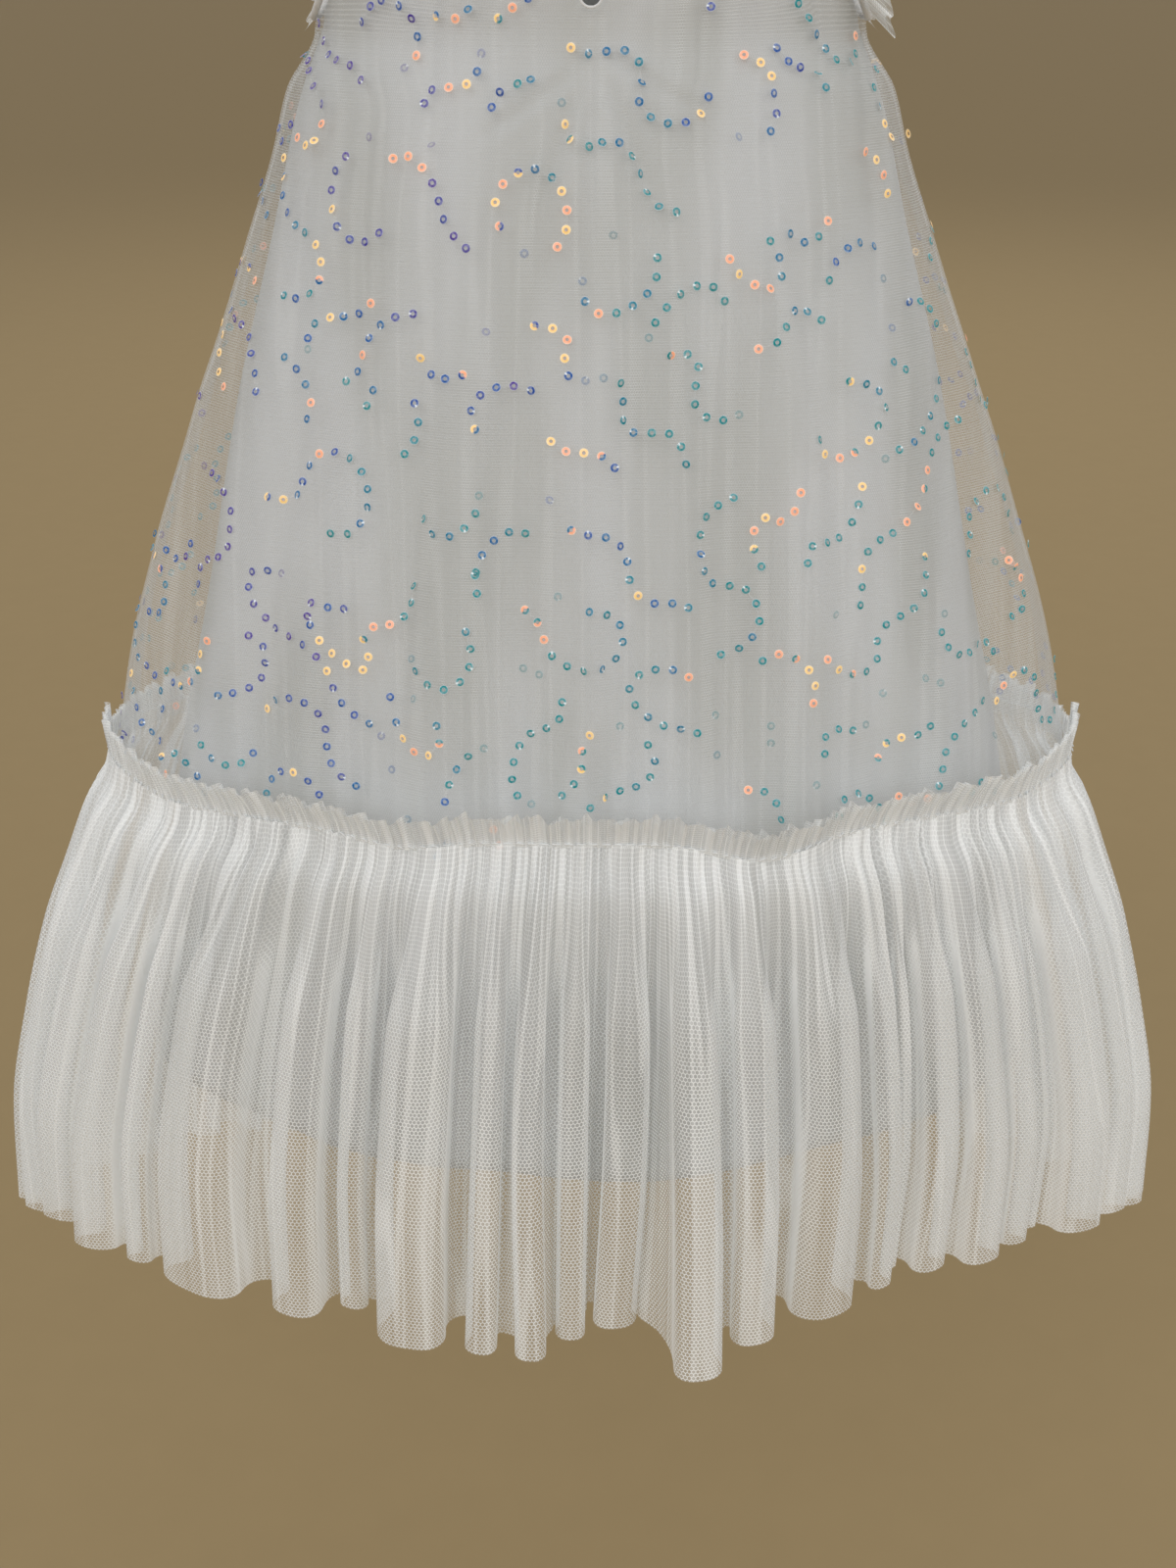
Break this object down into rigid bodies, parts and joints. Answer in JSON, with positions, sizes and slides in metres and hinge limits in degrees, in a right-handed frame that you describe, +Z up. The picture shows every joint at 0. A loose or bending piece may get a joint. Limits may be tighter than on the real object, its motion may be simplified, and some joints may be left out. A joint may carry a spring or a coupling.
{
  "type": "child's trapeze dress",
  "caption": "Child's sleeveless trapeze dress: opaque A-line lining, sheer flared overlay, gathered net tier, flutter sleeves and a bound neck with a slit, open and hollow.",
  "frame": {"origin": "midway between the shoulders, at the height of the shoulder seams, where the dress is held", "axes": "+Z up, -Y towards the side with the neck slit, X from side seam to side seam"},
  "size_m": [0.5, 0.2191, 0.6479],
  "materials": {
    "lining_satin": "smooth opaque white woven lining",
    "sequin_net": "fine sheer white net with flat ring sequins",
    "hex_net": "white hexagonal net, matt",
    "binding": "white bias binding, satin",
    "button": "pearly white",
    "loop_thread": "white thread",
    "sequin": "clear iridescent ring sequins, blue, violet, teal and amber"
  },
  "bodies": {
    "root": {"lining_front": "lining_satin", "lining_back": "lining_satin", "overlay_front": "sequin_net", "overlay_back": "sequin_net", "tier_front": "hex_net", "tier_back": "hex_net", "heading_front": "hex_net", "heading_back": "hex_net", "sleeve_left": "hex_net", "sleeve_right": "hex_net", "neck_binding": "binding", "neck_button": "button", "button_loop": "loop_thread"}
  },
  "joints": []
}
